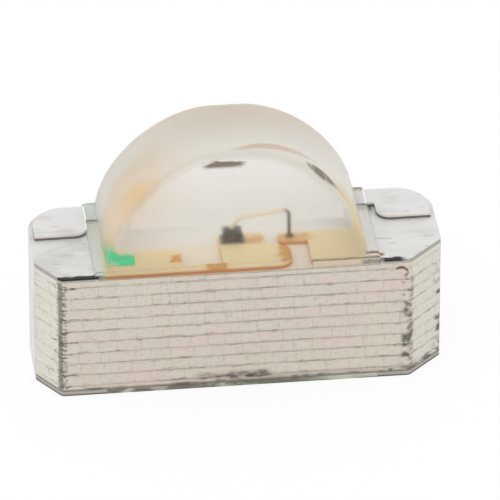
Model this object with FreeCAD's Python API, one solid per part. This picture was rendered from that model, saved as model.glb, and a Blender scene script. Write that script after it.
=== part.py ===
import FreeCAD, Part

import math
import os

from FreeCAD import Vector

# Side-view chip LED, in millimetres. +X runs along the board, -Y is the sawn front face and +Z points
# up to the lens. The origin is in the middle of the underside.

# Board: laminate with plated foil on its top and its underside
board_length = 3.0
board_depth = 1.0
board_height = 1.0
front_left_cut_x = 0.17
front_left_cut_y = 0.26
front_right_cut_x = 0.26
front_right_cut_y = 0.26
facet_break_radius = 0.05
rear_corner_radius = 0.28

# Terminals: foil on both faces, joined by plating round each end and its rear corner
foil_thickness = 0.035
wall_plating = 0.03
land_length = 0.45
raised_land_length = 0.43
raised_land_depth = 0.43
raised_land_height = 0.035
raised_land_inset = 0.035
raised_land_radius = 0.1
neck_length = 0.2
neck_depth = 0.23
underside_pad_length = 0.5

# Gold traces under the lens
trace_front_margin = 0.04
trace_depth = 0.41
trace_corner_radius = 0.04
cathode_trace_end = -0.43
link_width = 0.1
die_pad_left = -0.13
die_pad_right = 0.38
die_pad_radius = 0.12
die_pad_waist = 0.33
die_pad_rear_margin = 0.05
anode_trace_end = 0.52
tongue_width = 0.18
tongue_reach = 0.08

# Lens: flat crown between two quarter curves, front and back faces leaning in, thin foot. The fullness is
# the weight of the quarter curves: 0.7 makes them ellipses, less makes the shoulders slimmer.
lens_center_x = -0.03
lens_width = 1.92
lens_rise = 0.9
lens_crown_flat = 0.2
lens_fullness = 0.57
lens_lean = 0.1
lens_edge_radius = 0.075
foot_length = 0.09
foot_height = 0.04
foot_fillet = 0.05

# Light source: die on conductive glue with a contact on its top, and one gold wire
die_center_x = -0.03
die_center_y = 0.09
die_side = 0.14
die_height = 0.08
die_bevel = 0.012
glue_margin = 0.02
glue_thickness = 0.01
electrode_diameter = 0.07
electrode_thickness = 0.006
wire_diameter = 0.025
wire_foot_x = 0.39
ball_diameter = 0.065
ball_height = 0.02
ball_rounding = 0.008
loop_height = 0.23
loop_fall = 0.05
loop_run_out = 0.06
loop_bend_radius = 0.045
stitch_diameter = 0.045
stitch_height = 0.012

# Green polarity mark printed on the cathode trace
mark_center_x = -0.855
mark_center_y = -0.2
mark_length = 0.17
mark_depth = 0.2
mark_thickness = 0.008
mark_corner_radius = 0.02

# Places worked out from the sizes above
end_x = board_length / 2
front_y = -board_depth / 2
rear_y = board_depth / 2
laminate_top = board_height - foil_thickness
land_inner_x = end_x - land_length
trace_front_y = front_y + trace_front_margin
trace_rear_y = trace_front_y + trace_depth
die_pad_rear_y = die_center_y + die_side / 2 + die_pad_rear_margin
lens_left = lens_center_x - lens_width / 2 - foot_length
lens_right = lens_center_x + lens_width / 2 + foot_length
die_top_z = board_height + glue_thickness + die_height
electrode_top_z = die_top_z + electrode_thickness
reach = 2 * (board_length + board_depth + board_height + lens_rise)
seam_tolerance = 0.0001


def block(x0, x1, y0, y1, z0, z1):
    """Block between two corners."""
    return Part.makeBox(x1 - x0, y1 - y0, z1 - z0, Vector(x0, y0, z0))


def mirrored_block(side, x0, x1, y0, y1, z0, z1):
    """Block at the left end (side -1) or the right end (side +1), given as at the right end."""
    low, high = sorted((side * x0, side * x1))
    return block(low, high, y0, y1, z0, z1)


def upright_edges(solid):
    """Straight edges of a solid that run along Z."""
    lines = [(edge, edge.BoundBox) for edge in solid.Edges if isinstance(edge.Curve, Part.Line)]
    return [edge for edge, box in lines if box.ZLength > max(box.XLength, box.YLength)]


def round_corners(solid, places, radius):
    """Round the upright edges that stand at the given places in plan."""
    near = wall_plating / 2
    chosen = [
        edge
        for edge in upright_edges(solid)
        if any(math.hypot(edge.CenterOfMass.x - x, edge.CenterOfMass.y - y) < near for x, y in places)
    ]
    return solid.makeFillet(radius, chosen)


def rounded_block(x0, x1, y0, y1, z0, z1, radius):
    """Block with rounded upright edges, the radius limited by its shorter side."""
    solid = block(x0, x1, y0, y1, z0, z1)
    limit = min(x1 - x0, y1 - y0) / 2 - seam_tolerance
    return solid.makeFillet(min(radius, limit), upright_edges(solid))


def fuse(solids):
    """One solid from overlapping or touching ones, without seams in its flat faces."""
    return solids[0].multiFuse(solids[1:]).removeSplitter().Solids[0]


def board_outline():
    """Outline of the board in plan: facets at the front corners, rounds at the rear ones."""
    facets = [
        (-end_x, front_y + front_left_cut_y),
        (-end_x + front_left_cut_x, front_y),
        (end_x - front_right_cut_x, front_y),
        (end_x, front_y + front_right_cut_y),
    ]
    rear = [(end_x, rear_y), (-end_x, rear_y)]
    corners = [Vector(x, y, 0) for x, y in facets + rear]
    plate = Part.Face(Part.makePolygon(corners + corners[:1])).extrude(Vector(0, 0, board_height))
    plate = round_corners(plate, rear, rear_corner_radius)
    plate = round_corners(plate, facets, facet_break_radius)
    return min(plate.Faces, key=lambda face: face.CenterOfMass.z)


def board_slab(inset, z0, z1):
    """Slab with the outline of the board, moved in by an inset."""
    face = board_outline()
    if inset:
        face = face.makeOffset2D(-inset)
    face.translate(Vector(0, 0, z0 - face.BoundBox.ZMin))
    return face.extrude(Vector(0, 0, z1 - z0))


def end_wall(side):
    """Plating on one end face and round its rear corner, over the full height."""
    cut_y = front_left_cut_y if side < 0 else front_right_cut_y
    skin = board_slab(0, 0, board_height).cut(board_slab(wall_plating, 0, board_height))
    zone = mirrored_block(side, end_x - rear_corner_radius, reach, front_y + cut_y, reach, 0, board_height)
    return skin.common(zone).Solids[0]


def end_lands(side):
    """Foil on the top and on the underside of one end."""
    top_zone = mirrored_block(side, land_inner_x, reach, -reach, reach, laminate_top, board_height)
    low_zone = mirrored_block(side, end_x - underside_pad_length, reach, -reach, reach, 0, foil_thickness)
    top = board_slab(0, laminate_top, board_height).common(top_zone)
    low = board_slab(0, 0, foil_thickness).common(low_zone)
    return [top, low]


def raised_land(side):
    """Thicker land over the rear of one end, with a neck that runs in under the lens."""
    z0, z1 = board_height, board_height + raised_land_height
    inner_x, land_y = end_x - raised_land_length, rear_y - raised_land_depth
    land = mirrored_block(side, inner_x, reach, land_y, reach, z0, z1)
    land = round_corners(land, [(side * inner_x, land_y)], raised_land_radius)
    neck_x, neck_y = inner_x - neck_length, rear_y - neck_depth
    neck = mirrored_block(side, neck_x, inner_x + neck_length, neck_y, reach, z0, z1)
    return board_slab(raised_land_inset, z0, z1).common(fuse([land, neck]))


def trace(x0, x1, y0, y1, radius):
    """Rounded patch of the foil on top of the laminate."""
    return rounded_block(x0, x1, y0, y1, laminate_top, board_height, radius)


def cathode_trace():
    """Gold trace from the left end to the die pad."""
    overlap = 2 * trace_corner_radius
    link_start, link_end = cathode_trace_end - overlap, die_pad_left + die_pad_radius + link_width
    link_rear_y = trace_front_y + link_width
    waist_x = die_pad_left + die_pad_waist
    waist_y = trace_rear_y - trace_depth / 2
    return [
        trace(-land_inner_x - overlap, cathode_trace_end, trace_front_y, trace_rear_y, trace_corner_radius),
        block(link_start, link_end, trace_front_y, link_rear_y, laminate_top, board_height),
        trace(die_pad_left, die_pad_right, trace_front_y, trace_rear_y, die_pad_radius),
        trace(die_pad_left, waist_x, waist_y, die_pad_rear_y, trace_corner_radius),
    ]


def anode_trace():
    """Gold trace from the right end, with the tongue that the wire stands on."""
    low, high = die_center_y - tongue_width / 2, die_center_y + tongue_width / 2
    overlap = 2 * trace_corner_radius
    return [
        trace(anode_trace_end, land_inner_x + overlap, trace_front_y, high, trace_corner_radius),
        trace(wire_foot_x - tongue_reach, anode_trace_end + overlap, low, high, trace_corner_radius),
    ]


def terminal(side, traces):
    """All the metal of one end as one piece."""
    return fuse([end_wall(side)] + end_lands(side) + [raised_land(side)] + traces)


def laminate_board(terminals):
    """Glass laminate between the foils."""
    return board_slab(0, foil_thickness, laminate_top).cut(terminals)


def underside_resist():
    """Green film between the two pads on the underside."""
    half = end_x - underside_pad_length
    return block(-half, half, front_y, rear_y, 0, foil_thickness)


def quarter_curve(start, corner, end):
    """Conic quarter that is tangent at its ends to the lines through the corner."""
    curve = Part.BezierCurve()
    curve.setPoles([start, corner, end])
    curve.setWeight(2, lens_fullness)
    return curve.toShape()


def dome_profile():
    """Side profile of the dome, in the plane of the front face."""
    base, crown = board_height, board_height + lens_rise
    half, flat = lens_width / 2, lens_crown_flat / 2

    def point(x, z):
        return Vector(lens_center_x + x, front_y, z)

    edges = [
        Part.makeLine(point(-half, base), point(half, base)),
        quarter_curve(point(half, base), point(half, crown), point(flat, crown)),
        Part.makeLine(point(flat, crown), point(-flat, crown)),
        quarter_curve(point(-flat, crown), point(-half, crown), point(-half, base)),
    ]
    return Part.Face(Part.Wire(edges))


def leaning_wedge():
    """Wedge between the leaning front and back planes, from the foil up to the crown."""
    base, crown = board_height, board_height + lens_rise
    section = [
        Vector(-reach, front_y, base),
        Vector(-reach, rear_y, base),
        Vector(-reach, rear_y - lens_lean, crown),
        Vector(-reach, front_y + lens_lean, crown),
    ]
    return Part.Face(Part.makePolygon(section + section[:1])).extrude(Vector(2 * reach, 0, 0))


def dome():
    """Dome with its leaning faces and rounded rims."""
    solid = dome_profile().extrude(Vector(0, board_depth, 0)).common(leaning_wedge()).Solids[0]
    normals = [(face, face.normalAt(0, 0)) for face in solid.Faces]
    leaning = [face for face, normal in normals if abs(normal.y) > max(abs(normal.x), abs(normal.z))]
    edges = [edge for face in leaning for edge in face.Edges]
    rims = [edge for edge in edges if edge.BoundBox.ZMax > board_height + foot_height]
    return solid.makeFillet(lens_edge_radius, rims)


def footed_dome():
    """Dome on its thin foot, with a small hollow fillet where they meet."""
    core = dome()
    top = board_height + foot_height
    foot = block(lens_left, lens_right, front_y, rear_y, board_height, top).common(leaning_wedge())
    solid = fuse([core, foot])
    seam = []
    for edge in solid.Edges:
        middle = edge.valueAt((edge.FirstParameter + edge.LastParameter) / 2)
        if abs(middle.z - top) < seam_tolerance and core.isInside(middle, seam_tolerance, True):
            seam.append(edge)
    return solid.makeFillet(foot_fillet, seam)


def lens(contents):
    """Clear epoxy: dome, thin foot and what flows down between the traces, around all that it holds."""
    filling = block(lens_left, lens_right, front_y, rear_y, laminate_top, board_height)
    return fuse([footed_dome(), filling]).cut(contents)


def die_attach():
    """Conductive glue under the die."""
    half = die_side / 2 + glue_margin
    return rounded_block(
        die_center_x - half,
        die_center_x + half,
        die_center_y - half,
        die_center_y + half,
        board_height,
        board_height + glue_thickness,
        glue_margin,
    )


def led_die():
    """Light-emitting die with bevelled top edges."""
    half = die_side / 2
    base = board_height + glue_thickness
    solid = block(
        die_center_x - half, die_center_x + half, die_center_y - half, die_center_y + half, base, die_top_z
    )
    rim = [edge for edge in solid.Edges if edge.BoundBox.ZMin > base + die_height / 2]
    return solid.makeChamfer(die_bevel, rim)


def die_electrode():
    """Round contact on top of the die."""
    place = Vector(die_center_x, die_center_y, die_top_z)
    return Part.makeCylinder(electrode_diameter / 2, electrode_thickness, place)


def rounded_path(points, radius):
    """Path through points of straight runs joined by tangent arcs."""
    edges, start = [], points[0]
    for before, corner, after in zip(points, points[1:], points[2:]):
        into = (before - corner).normalize()
        away = (after - corner).normalize()
        half_angle = into.getAngle(away) / 2
        setback = radius / math.tan(half_angle)
        bisector = (into + away).normalize()
        middle = corner + bisector * (radius / math.sin(half_angle) - radius)
        arc_start, arc_end = corner + into * setback, corner + away * setback
        edges += [Part.makeLine(start, arc_start), Part.Arc(arc_start, middle, arc_end).toShape()]
        start = arc_end
    return Part.Wire(edges + [Part.makeLine(start, points[-1])])


def bond_wire():
    """Gold wire: ball on the anode tongue, upright rise, long run and bump on the die contact."""
    foot = Vector(wire_foot_x, die_center_y, board_height)
    top = Vector(wire_foot_x, die_center_y, board_height + loop_height)
    turn = Vector(die_center_x + loop_run_out, die_center_y, top.z - loop_fall)
    end = Vector(die_center_x, die_center_y, electrode_top_z + wire_diameter / 2)
    start = foot + Vector(0, 0, ball_height / 2)
    path = rounded_path([start, top, turn, end], loop_bend_radius)
    section = Part.Wire(Part.makeCircle(wire_diameter / 2, start, Vector(0, 0, 1)))
    loop = path.makePipeShell([section], True, True)
    ball = Part.makeCylinder(ball_diameter / 2, ball_height, foot)
    rims = [edge for edge in ball.Edges if edge.BoundBox.ZLength < ball_rounding]
    ball = ball.makeFillet(ball_rounding, rims)
    bump = Part.makeCylinder(
        stitch_diameter / 2, stitch_height, Vector(die_center_x, die_center_y, electrode_top_z)
    )
    return fuse([ball, loop, bump])


def cathode_mark():
    """Green polarity mark on the cathode trace."""
    return rounded_block(
        mark_center_x - mark_length / 2,
        mark_center_x + mark_length / 2,
        mark_center_y - mark_depth / 2,
        mark_center_y + mark_depth / 2,
        board_height,
        board_height + mark_thickness,
        mark_corner_radius,
    )


def build():
    """All pieces of the part, by name."""
    cathode = terminal(-1, cathode_trace())
    anode = terminal(1, anode_trace())
    inside = {
        "die_attach": die_attach(),
        "led_die": led_die(),
        "die_electrode": die_electrode(),
        "bond_wire": bond_wire(),
        "cathode_mark": cathode_mark(),
    }
    return {
        "laminate_board": laminate_board([cathode, anode]),
        "cathode_terminal": cathode,
        "anode_terminal": anode,
        "underside_resist": underside_resist(),
        **inside,
        "lens": lens([cathode, anode, *inside.values()]),
    }


os.makedirs("parts", exist_ok=True)
for name, shape in build().items():
    solid = shape.Solids[0]
    print(f"{name}: {len(shape.Solids)} solid, {solid.Volume:.6f} mm3, valid {solid.isValid()}")
    solid.exportStep(f"parts/{name}.step")
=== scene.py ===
"""Side-view chip LED: finishes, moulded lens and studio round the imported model."""

import logging
import math
import random
from dataclasses import dataclass
from enum import Enum
from functools import reduce
from typing import Any

import bmesh
import bpy
from mathutils import Matrix, Vector


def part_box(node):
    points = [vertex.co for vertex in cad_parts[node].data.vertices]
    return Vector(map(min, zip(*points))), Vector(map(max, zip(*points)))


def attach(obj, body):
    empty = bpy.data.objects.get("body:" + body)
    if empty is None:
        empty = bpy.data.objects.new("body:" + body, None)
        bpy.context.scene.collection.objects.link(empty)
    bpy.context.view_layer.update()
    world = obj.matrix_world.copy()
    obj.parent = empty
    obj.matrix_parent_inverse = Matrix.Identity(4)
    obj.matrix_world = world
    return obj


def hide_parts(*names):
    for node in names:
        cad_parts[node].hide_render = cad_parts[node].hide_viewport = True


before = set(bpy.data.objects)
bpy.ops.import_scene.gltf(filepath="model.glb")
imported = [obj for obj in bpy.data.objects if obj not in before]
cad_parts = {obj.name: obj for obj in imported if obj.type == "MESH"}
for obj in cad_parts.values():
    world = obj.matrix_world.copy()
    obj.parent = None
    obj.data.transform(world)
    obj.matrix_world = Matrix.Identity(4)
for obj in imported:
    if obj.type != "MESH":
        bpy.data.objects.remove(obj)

LOG = logging.getLogger("side_view_led")

# The frame is in metres and the object's own sizes are in millimetres.
MM = 0.001
BODY = "root"

# Numbers of the mix node's sockets that take and give colours
MIX_FACTOR, MIX_FIRST, MIX_SECOND, MIX_RESULT = 0, 6, 7, 2

# Photograph: its side in pixels, and the camera that it was taken with as far as it can be read
PHOTO_SIDE = 500
CAMERA_AZIMUTH = -6.75
CAMERA_ELEVATION = 31.0
# Pixels to a millimetre
PHOTO_SCALE = 135.0
# Pixel of the photograph where the middle of the board's underside lies
ORIGIN_PIXEL = (234.4, 349.7)

# A soft step is given by the values where it is zero and where it is one.
Step = tuple[float, float]
# A span is given by its two ends.
Span = tuple[float, float]
# A band is given by its low end, its high end and the softness of both.
Band = tuple[float, float, float]

# Relief of a printed or plated film in millimetres
FILM_RELIEF = 0.002
# Where the soft edge of an oval ends, in its own half lengths
OVAL_REACH = 1.2
# Rise of a normal where a face isn't upright at all, and where it counts in full
UPRIGHT_RISE: Step = (0.75, 0.45)


class Sight(Enum):
    """Rays that see the pale surroundings as plain white, by the light path's sockets."""

    CAMERA = "Is Camera Ray"
    GLOSSY = "Is Glossy Ray"
    TRANSMISSION = "Is Transmission Ray"


@dataclass(frozen=True)
class Grain:
    """Cloudy noise, drawn as coarse as it needs to show.

    Attributes:
        size: Size of its clouds in millimetres.
        step: Values of the noise between which its mask rises.
        stretch: How many times longer the clouds are along each axis.
        detail: How much finer noise is added to it.
    """

    size: float
    step: Step = (0.35, 0.65)
    stretch: tuple[float, float, float] = (1, 1, 1)
    detail: float = 3.0


@dataclass(frozen=True)
class Patch:
    """Soft-edged rectangle, as a band along each of two axes."""

    along: Band
    across: Band


@dataclass(frozen=True)
class Oval:
    """Soft-edged oval.

    Attributes:
        middle: Place of its middle along both axes.
        half: Half its length and half its width.
        core: Share of it that is at full strength.
    """

    middle: tuple[float, float]
    half: tuple[float, float]
    core: float = 0.7


def linear(hex_colour: str) -> tuple[float, float, float, float]:
    """Turn an sRGB hex colour into the linear colour that a socket takes.

    Args:
        hex_colour: Six hex digits, with a leading hash.

    Returns:
        Linear red, green and blue, and an alpha of one.
    """
    channels = [int(hex_colour[i : i + 2], 16) / 255 for i in (1, 3, 5)]
    red, green, blue = (c / 12.92 if c <= 0.04045 else ((c + 0.055) / 1.055) ** 2.4 for c in channels)
    return red, green, blue, 1.0


def add_node(
    tree: bpy.types.NodeTree, kind: str, inputs: dict[Any, Any] | None = None, **settings: Any
) -> bpy.types.Node:
    """Add a node with its settings and links.

    Args:
        tree: Node tree that the node goes into.
        kind: Blender's name for the node's type.
        inputs: Socket name or number, with a value or the output socket to link from.
        **settings: Properties of the node.

    Returns:
        The new node.
    """
    node = tree.nodes.new(kind)
    for name, value in settings.items():
        setattr(node, name, value)
    for socket, value in (inputs or {}).items():
        if isinstance(value, bpy.types.NodeSocket):
            tree.links.new(value, node.inputs[socket])
        else:
            node.inputs[socket].default_value = value
    return node


def dress(piece: bpy.types.Object, material: bpy.types.Material) -> None:
    """Give every material slot of a piece the same material.

    Args:
        piece: The piece to dress.
        material: The material for it.
    """
    if not piece.material_slots:
        piece.data.materials.append(material)
    for slot in piece.material_slots:
        slot.material = material


def as_object(mesh: bmesh.types.BMesh, name: str) -> bpy.types.Object:
    """Turn a bmesh into a linked object.

    Args:
        mesh: Mesh to write, which is freed.
        name: Name of the object.

    Returns:
        The object.
    """
    data = bpy.data.meshes.new(name)
    mesh.to_mesh(data)
    mesh.free()
    piece = bpy.data.objects.new(name, data)
    bpy.context.scene.collection.objects.link(piece)
    return piece


def verts_of(geometry: list) -> list[bmesh.types.BMVert]:
    """Corners among the geometry that an operator gives back."""
    return [item for item in geometry if isinstance(item, bmesh.types.BMVert)]


def round_edges(mesh: bmesh.types.BMesh, edges: list, radius: float, steps: int) -> None:
    """Round some edges of a mesh.

    Args:
        mesh: The mesh.
        edges: The edges to round.
        radius: Radius in millimetres.
        steps: Number of faces round the edge.
    """
    bmesh.ops.bevel(
        mesh, geom=edges, offset=radius, affect="EDGES", segments=steps, profile=0.5,
        material=-1, offset_type="OFFSET", clamp_overlap=False,
    )


def report_mesh(mesh: bmesh.types.BMesh, name: str) -> None:
    """Report whether a mesh is closed, and what it holds.

    Args:
        mesh: The mesh in millimetres.
        name: Its name in the report.
    """
    loose = [edge for edge in mesh.edges if len(edge.link_faces) != 2]
    LOG.info("%s: %d open edges, volume %.4f mm3", name, len(loose), mesh.calc_volume())


class Pattern:
    """Node patterns of one material, laid out in millimetres in the shared frame."""

    def __init__(self, name: str) -> None:
        """Start a material with its place in millimetres.

        Args:
            name: Name of the material.
        """
        self.material = bpy.data.materials.new(name)
        self.material.use_nodes = True
        self.tree = self.material.node_tree
        self.tree.nodes.clear()
        place = add_node(self.tree, "ShaderNodeTexCoord").outputs["Object"]
        mapping = {"Vector": place, "Scale": (1 / MM,) * 3}
        self.place = add_node(self.tree, "ShaderNodeMapping", mapping).outputs["Vector"]
        split = add_node(self.tree, "ShaderNodeSeparateXYZ", {"Vector": self.place})
        self.x, self.y, self.z = split.outputs

    def math(self, operation: str, *values: Any) -> bpy.types.NodeSocket:
        """One step of arithmetic on numbers and sockets."""
        inputs = dict(enumerate(values))
        return add_node(self.tree, "ShaderNodeMath", inputs, operation=operation).outputs[0]

    def product(self, *masks: Any) -> bpy.types.NodeSocket:
        """Product of several masks."""
        return reduce(lambda total, mask: self.math("MULTIPLY", total, mask), masks)

    def most(self, *masks: Any) -> bpy.types.NodeSocket:
        """Largest of several masks."""
        return reduce(lambda total, mask: self.math("MAXIMUM", total, mask), masks)

    def between(self, mask: Any, low: float, high: float) -> bpy.types.NodeSocket:
        """A mask spread over the range from one strength to another."""
        return self.math("MULTIPLY_ADD", mask, high - low, low)

    def ramp(self, value: Any, zero: float, one: float) -> bpy.types.NodeSocket:
        """Soft step between the value where it is zero and the value where it is one."""
        inputs = {"Value": value, "From Min": zero, "From Max": one}
        return add_node(
            self.tree, "ShaderNodeMapRange", inputs, interpolation_type="SMOOTHSTEP"
        ).outputs["Result"]

    def band(self, value: Any, low: float, high: float, soft: float) -> bpy.types.NodeSocket:
        """One between two values, with soft edges outside them."""
        return self.product(self.ramp(value, low - soft, low), self.ramp(value, high + soft, high))

    def patch(self, first: Any, second: Any, patch: Patch) -> bpy.types.NodeSocket:
        """Soft-edged rectangle in the plane of two numbers."""
        return self.product(self.band(first, *patch.along), self.band(second, *patch.across))

    def oval(self, first: Any, second: Any, oval: Oval) -> bpy.types.NodeSocket:
        """Soft-edged oval in the plane of two numbers.

        Args:
            first: The number along the oval.
            second: The number across it.
            oval: Its place and size.

        Returns:
            The mask of the oval.
        """
        legs = [
            self.math("MULTIPLY_ADD", value, 1 / size, -place / size)
            for value, place, size in zip((first, second), oval.middle, oval.half)
        ]
        squares = [self.product(leg, leg) for leg in legs]
        return self.ramp(self.math("SQRT", self.math("ADD", *squares)), OVAL_REACH, oval.core)

    def noise(self, grain: Grain) -> bpy.types.NodeSocket:
        """Cloudy noise about one half.

        Args:
            grain: Its size and how it is drawn out.

        Returns:
            The noise.
        """
        scale = tuple(1 / (grain.size * length) for length in grain.stretch)
        place = add_node(self.tree, "ShaderNodeMapping", {"Vector": self.place, "Scale": scale})
        inputs = {"Vector": place.outputs["Vector"], "Scale": 1.0, "Detail": grain.detail}
        return add_node(self.tree, "ShaderNodeTexNoise", inputs).outputs["Fac"]

    def grain(self, grain: Grain) -> bpy.types.NodeSocket:
        """Mask of the places where a noise is high."""
        return self.ramp(self.noise(grain), *grain.step)

    def uneven(self, value: Any, grain: Grain, low: float, high: float) -> bpy.types.NodeSocket:
        """A number that noise shifts by something between two amounts."""
        return self.math("ADD", value, self.between(self.noise(grain), low, high))

    def mix(self, factor: Any, first: Any, second: Any) -> bpy.types.NodeSocket:
        """Mix two colours.

        Args:
            factor: Share of the second colour.
            first: A colour, as hex digits or a socket.
            second: The other colour.

        Returns:
            The mixed colour.
        """
        first, second = (linear(c) if isinstance(c, str) else c for c in (first, second))
        inputs = {MIX_FACTOR: factor, MIX_FIRST: first, MIX_SECOND: second}
        return add_node(self.tree, "ShaderNodeMix", inputs, data_type="RGBA").outputs[MIX_RESULT]

    def layers(self, colour: Any, *layers: tuple[Any, Any, Any]) -> bpy.types.NodeSocket:
        """Lay colours over one another.

        Args:
            colour: The lowest colour.
            *layers: Mask, strength and colour of each layer, from the lowest up. A strength is a
                number or another mask.

        Returns:
            The colour with its layers.
        """
        for mask, strength, over in layers:
            colour = self.mix(self.product(mask, strength), colour, over)
        return colour

    def upright(self) -> bpy.types.NodeSocket:
        """Mask of the faces that stand upright.

        Returns:
            One on upright faces and zero on level ones.
        """
        normal = add_node(self.tree, "ShaderNodeNewGeometry").outputs["True Normal"]
        rise = add_node(self.tree, "ShaderNodeSeparateXYZ", {"Vector": normal}).outputs["Z"]
        return self.ramp(self.math("ABSOLUTE", rise), *UPRIGHT_RISE)

    def bump(self, height: Any, distance: float) -> bpy.types.NodeSocket:
        """Fine relief with its height in millimetres."""
        inputs = {"Height": height, "Distance": distance * MM, "Strength": 1.0}
        return add_node(self.tree, "ShaderNodeBump", inputs).outputs["Normal"]

    def surface(self, inputs: dict[str, Any]) -> bpy.types.Material:
        """Close the material with its shader.

        Args:
            inputs: Sockets of the shader, with their values or links.

        Returns:
            The material.
        """
        shader = add_node(self.tree, "ShaderNodeBsdfPrincipled", inputs)
        add_node(self.tree, "ShaderNodeOutputMaterial", {"Surface": shader.outputs["BSDF"]})
        return self.material


@dataclass(frozen=True)
class PlainFinish:
    """A metal, moulded or sawn finish of one colour, faintly mottled as a tiny piece is."""

    name: str
    colour: str
    shade: str
    roughness: float
    metallic: float = 0.0
    mottle: Grain = Grain(0.05)

    def build(self) -> bpy.types.Material:
        """Make the node material.

        Returns:
            The material.
        """
        pattern = Pattern(self.name)
        cloud = pattern.noise(self.mottle)
        mottled = pattern.ramp(cloud, *self.mottle.step)
        return pattern.surface(
            {
                "Base Color": pattern.mix(mottled, self.colour, self.shade),
                "Roughness": self.roughness,
                "Metallic": self.metallic,
                "Normal": pattern.bump(cloud, FILM_RELIEF),
            }
        )


@dataclass(frozen=True)
class PlyLayout:
    """Where the plies of the laminate and the joints of their fibre bundles lie, in millimetres.

    The finish paints the tone of each bundle and the board's mesh carries the joints, so both ask here.

    Attributes:
        low: Height of the lowest joint between plies.
        pitch: Thickness of a ply.
        count: Number of joints between plies.
        bundle: Usual width of a fibre bundle.
        sway: How far bundles grow wider and narrower along a ply.
        sway_rate: Turns of that sway in radians to a millimetre.
        sway_shift: Shift of the sway from ply to ply, in radians.
        stagger: Shift of the bundles from ply to ply, in bundles.
        fold: Lengthening along the corner facets, which the board's X foreshortens.
        front: Place of the front face.
        halvings: How many times the place of a joint is halved in on.
    """

    low: float = 0.0815
    pitch: float = 0.093
    count: int = 10
    bundle: float = 0.15
    sway: float = 0.045
    sway_rate: float = 6.0
    sway_shift: float = 2.4
    stagger: float = 0.618
    fold: float = 0.45
    front: float = -0.5
    halvings: int = 40

    def heights(self) -> list[float]:
        """Heights of the joints between plies."""
        return [self.low + index * self.pitch for index in range(self.count)]

    def count_along(self, along: float, row: int) -> float:
        """Number of fibre bundles passed at a place in one ply.

        Args:
            along: The place along the board.
            row: Number of the ply.

        Returns:
            The number, with a fraction for a bundle in part.
        """
        phase = self.sway_rate * along + self.sway_shift * row
        swayed = along + self.sway * math.sin(phase)
        return swayed / self.bundle + self.stagger * row

    def joints(self, row: int, low: float, high: float) -> list[float]:
        """Places along the board where two bundles of one ply meet.

        Args:
            row: Number of the ply.
            low: Start of the range.
            high: End of the range.

        Returns:
            The places, found by halving because the count only grows.
        """
        first = math.floor(self.count_along(low, row)) + 1
        last = math.floor(self.count_along(high, row))
        places = []
        for number in range(first, last + 1):
            start, end = low, high
            for _ in range(self.halvings):
                middle = (start + end) / 2
                if self.count_along(middle, row) < number:
                    start = middle
                else:
                    end = middle
            places.append(start)
        return places


PLIES = PlyLayout()


@dataclass(frozen=True)
class CornerGrime:
    """Speckles down the two sawn corners, with dashes that run from them along the ply joints.

    Bands and steps are along the board, and heights are above its underside.
    """

    speckle: Grain = Grain(0.02, (0.42, 0.62), (2.5, 2.5, 1), 2.0)
    dash: Grain = Grain(0.016, (0.5, 0.66), (3, 3, 1), 1.0)
    blotch: Grain = Grain(0.1, (0.35, 0.6), (1, 1, 1.5))
    smudge: Grain = Grain(0.05, (0.44, 0.64), (1.6, 1.6, 1), 3.0)
    left: Band = (-1.34, -1.305, 0.03)
    left_rim: Band = (-1.345, -1.325, 0.01)
    left_rim_share: float = 0.75
    left_reach: Step = (-1.1, -1.26)
    left_end: Step = (-1.42, -1.36)
    right: Patch = Patch((1.2, 1.245, 0.04), (0.08, 0.8, 0.08))
    right_reach: Step = (0.9, 1.22)
    right_end: Step = (1.27, 1.24)
    tip: Step = (1.42, 1.48)
    tip_height: Band = (0.1, 0.8, 0.1)

    def mask(self, pattern: Pattern, joints: bpy.types.NodeSocket) -> bpy.types.NodeSocket:
        """Where the grime lies.

        Args:
            pattern: The material's patterns.
            joints: Mask of wide lines along the ply joints.

        Returns:
            The mask of the grime.
        """
        x, z = pattern.x, pattern.z
        dashes = pattern.product(joints, pattern.grain(self.dash))
        smudge = pattern.grain(self.smudge)
        left = pattern.product(pattern.ramp(x, *self.left_reach), pattern.ramp(x, *self.left_end))
        right = pattern.product(pattern.ramp(x, *self.right_reach), pattern.ramp(x, *self.right_end))
        return pattern.most(
            pattern.product(pattern.band(x, *self.left), pattern.grain(self.speckle)),
            pattern.product(pattern.band(x, *self.left_rim), self.left_rim_share),
            pattern.product(left, dashes),
            pattern.product(pattern.patch(x, z, self.right), smudge),
            pattern.product(right, dashes, pattern.grain(self.blotch)),
            pattern.product(pattern.ramp(x, *self.tip), smudge, pattern.band(z, *self.tip_height)),
        )


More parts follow.
